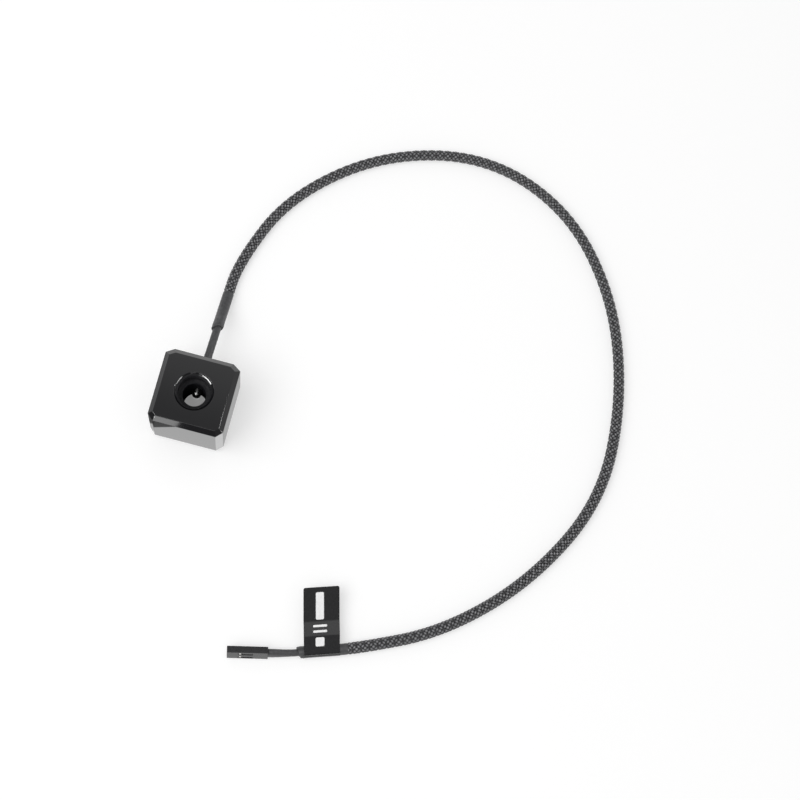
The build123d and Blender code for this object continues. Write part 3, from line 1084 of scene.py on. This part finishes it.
def floor():
    """A wide pale floor that keeps the shadow and is white to the camera elsewhere, with painted shade
    where it is seen through the bore, and a painted reflection to gloss.
    """
    sides = ((-1, -1), (1, -1), (1, 1), (-1, 1))
    corners = [(x * FLOOR_REACH, y * FLOOR_REACH, -FLOOR_DROP) for x, y in sides]
    mesh = bpy.data.meshes.new("floor")
    mesh.from_pydata(corners, [], [(0, 1, 2, 3)])
    ground = add_object("floor", mesh)
    material = bpy.data.materials.new("floor_white")
    material.use_nodes = True
    tree = material.node_tree
    tree.nodes.clear()
    out = tree.nodes.new("ShaderNodeOutputMaterial")
    diffuse = tree.nodes.new("ShaderNodeBsdfDiffuse")
    in_gloss = ray(tree, "Is Glossy Ray")
    tree.links.new(remap(tree, in_gloss, 0.0, 1.0, FLOOR_GREY, 0.0), diffuse.inputs["Color"])
    glow = tree.nodes.new("ShaderNodeEmission")
    place = tree.nodes.new("ShaderNodeTexCoord")
    split = tree.nodes.new("ShaderNodeSeparateXYZ")
    tree.links.new(place.outputs["Object"], split.inputs[0])
    length = tree.nodes.new("ShaderNodeVectorMath")
    length.operation = "LENGTH"
    tree.links.new(place.outputs["Object"], length.inputs[0])
    mirrored = mirrored_floor(tree, split.outputs["X"], split.outputs["Y"], length.outputs["Value"])
    # Glow to the camera, lower round the bore's axis: painted shade seen through the bore
    pale_with_bore_shade = remap(tree, length.outputs["Value"], *FLOOR_GLOW_AND_BORE_SHADE)
    seen = times(tree, ray(tree, "Is Camera Ray", "Is Transmission Ray"), pale_with_bore_shade)
    strength = between(tree, in_gloss, seen, mirrored)
    tree.links.new(strength, glow.inputs["Strength"])
    both = tree.nodes.new("ShaderNodeAddShader")
    tree.links.new(diffuse.outputs[0], both.inputs[0])
    tree.links.new(glow.outputs[0], both.inputs[1])
    tree.links.new(both.outputs[0], out.inputs["Surface"])
    mesh.materials.append(material)


def world():
    """White to the camera, even grey as light, and a studio of soft panels and darker walls to gloss."""
    sky = bpy.data.worlds.new("studio")
    bpy.context.scene.world = sky
    sky.use_nodes = True
    tree = sky.node_tree
    background = tree.nodes["Background"]
    background.inputs["Color"].default_value = (1, 1, 1, 1)
    place = tree.nodes.new("ShaderNodeTexCoord")
    split = tree.nodes.new("ShaderNodeSeparateXYZ")
    tree.links.new(place.outputs["Generated"], split.inputs[0])
    x, y, z = (split.outputs[k] for k in range(3))
    aside = plus(tree, times(tree, x, WALL_HEADING[0]), times(tree, y, WALL_HEADING[1]))
    walls = remap(tree, aside, *WALLS, smooth=True)
    panel = remap(tree, y, *PANEL, smooth=True)
    rise = remap(tree, y, *PANEL_RISE, smooth=True)
    fall = remap(tree, y, *PANEL_FALL, smooth=True)
    ceiling = plus(tree, panel, plus(tree, rise, fall))
    mirrored = between(tree, remap(tree, z, *CEILING_FROM, smooth=True), walls, ceiling)
    lit = between(tree, ray(tree, "Is Glossy Ray"), WORLD_LIGHT, mirrored)
    strength = between(tree, ray(tree, "Is Camera Ray", "Is Transmission Ray"), lit, 1.0)
    tree.links.new(strength, background.inputs["Strength"])


def lamp(name, direction, size, energy, tilt=0.0):
    """A rectangular lamp in a direction from the block, which it faces."""
    data = bpy.data.lights.new(name, "AREA")
    data.shape = "RECTANGLE"
    data.size, data.size_y = size
    data.energy = energy
    holder = bpy.data.objects.new(name, data)
    bpy.context.scene.collection.objects.link(holder)
    towards = Vector(direction).normalized()
    holder.location = LAMPS_FACE + towards * LAMP_DISTANCE
    holder.rotation_mode = "QUATERNION"
    facing = towards.to_track_quat("Z", "Y")
    holder.rotation_quaternion = facing @ Quaternion((0, 0, 1), math.radians(tilt))
    holder.visible_camera = False
    return holder


def softbox(name, direction, size, level):
    """A lamp that lights a face turned to it by a given level."""
    return lamp(name, direction, size, level * math.pi**2 * LAMP_DISTANCE**2)


def strip(name, azimuth, elevation, size, radiance, tilt=0.0):
    """A lamp that only shows in gloss; azimuth runs from +X towards +Y."""
    a, e = math.radians(azimuth), math.radians(elevation)
    direction = (math.cos(a) * math.cos(e), math.sin(a) * math.cos(e), math.sin(e))
    energy = radiance * math.pi * size[0] * size[1]
    holder = lamp(name, direction, size, energy, tilt)
    holder.visible_diffuse = False
    return holder


def camera():
    """The photograph's camera."""
    data = bpy.data.cameras.new("camera")
    data.sensor_width = SENSOR_WIDTH
    data.lens = FOCAL_PIXELS * SENSOR_WIDTH / PICTURE_PIXELS
    data.clip_start = 0.01
    data.clip_end = 50.0
    holder = bpy.data.objects.new("camera", data)
    bpy.context.scene.collection.objects.link(holder)
    forward = (LOOKS_AT - CAMERA_AT).normalized()
    right = forward.cross(Vector((0, 0, 1))).normalized()
    above = right.cross(forward)
    roll = math.radians(CAMERA_ROLL)
    x = right * math.cos(roll) + above * math.sin(roll)
    y = -right * math.sin(roll) + above * math.cos(roll)
    turn = Matrix((x, y, -forward)).transposed().to_4x4()
    holder.matrix_world = Matrix.Translation(CAMERA_AT) @ turn
    bpy.context.scene.camera = holder


camera()
build()
floor()
world()
softbox("key", (-0.42, -0.27, 0.87), (0.9, 0.9), 0.55)
strip("front_left", -132.0, 14.2, (0.95, 0.08), 30.0, tilt=9.0)
strip("front", -103.3, 13.0, (0.322, 0.12), 4.6)
strip("right", -12.5, 8.8, (0.7, 0.1), 12.0)
strip("front_right", -72.0, 5.0, (0.4, 0.12), 7.0)
strip("right_high", 13.6, 40.0, (0.1, 0.25), 45.0)
bpy.context.scene.view_settings.view_transform = "Standard"
